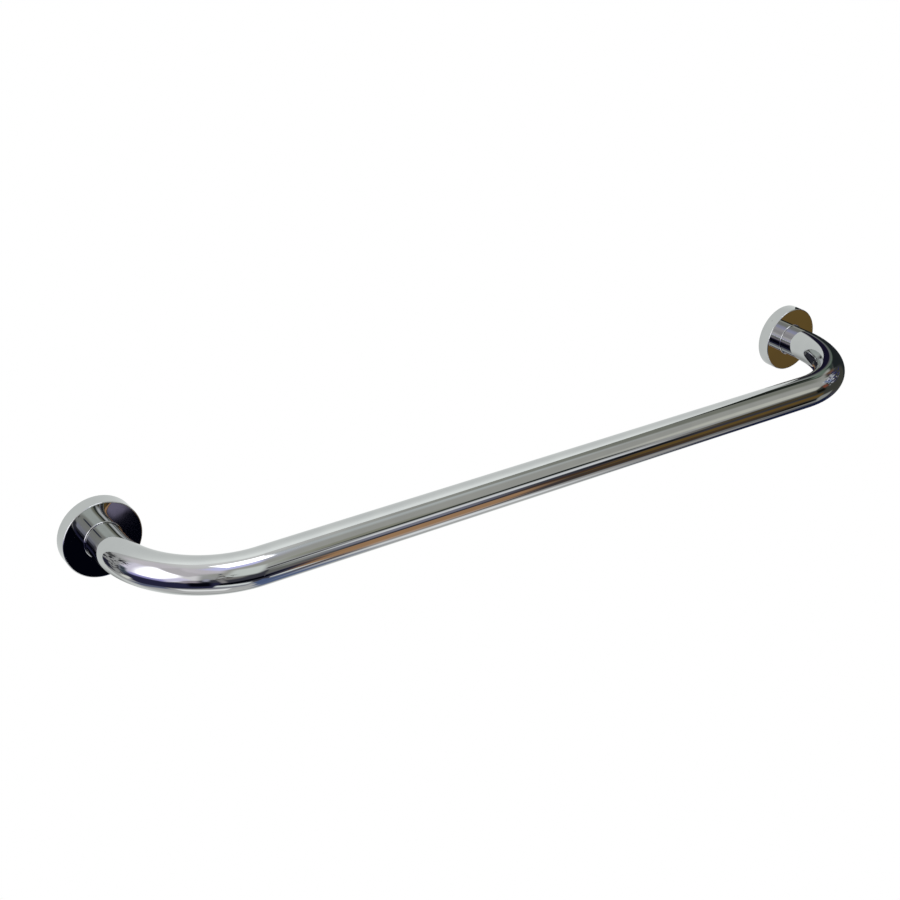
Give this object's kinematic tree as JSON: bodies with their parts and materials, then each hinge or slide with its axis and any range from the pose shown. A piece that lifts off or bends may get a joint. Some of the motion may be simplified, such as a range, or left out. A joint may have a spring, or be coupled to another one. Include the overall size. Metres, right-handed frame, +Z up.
{
  "type": "grab bar",
  "caption": "Wall-mounted grab bar: a round chrome tube bent back to the wall at its ends, with round slip-on covers over welded mounting plates.",
  "frame": {"origin": "on the wall plane, midway between the axes of the two legs", "axes": "+X along the bar, from the left end to the right end as seen from the room; +Y into the wall; +Z up"},
  "size_m": [0.674, 0.1065, 0.054],
  "materials": {
    "chrome": "mirror-polished chrome plate",
    "plate_steel": "stamped steel with a satin surface"
  },
  "bodies": {
    "rail": {"grab_tube": "chrome", "left_mounting_plate": "plate_steel", "right_mounting_plate": "plate_steel"},
    "left_cover": {"left_cover": "chrome"},
    "right_cover": {"right_cover": "chrome"}
  },
  "joints": [
    {"name": "left_cover_slide", "type": "slide", "parent": "rail", "child": "left_cover", "axis": [0, -1, 0], "range_m": [0, 0.0125]},
    {"name": "right_cover_slide", "type": "slide", "parent": "rail", "child": "right_cover", "axis": [0, -1, 0], "range_m": [0, 0.0125]}
  ]
}
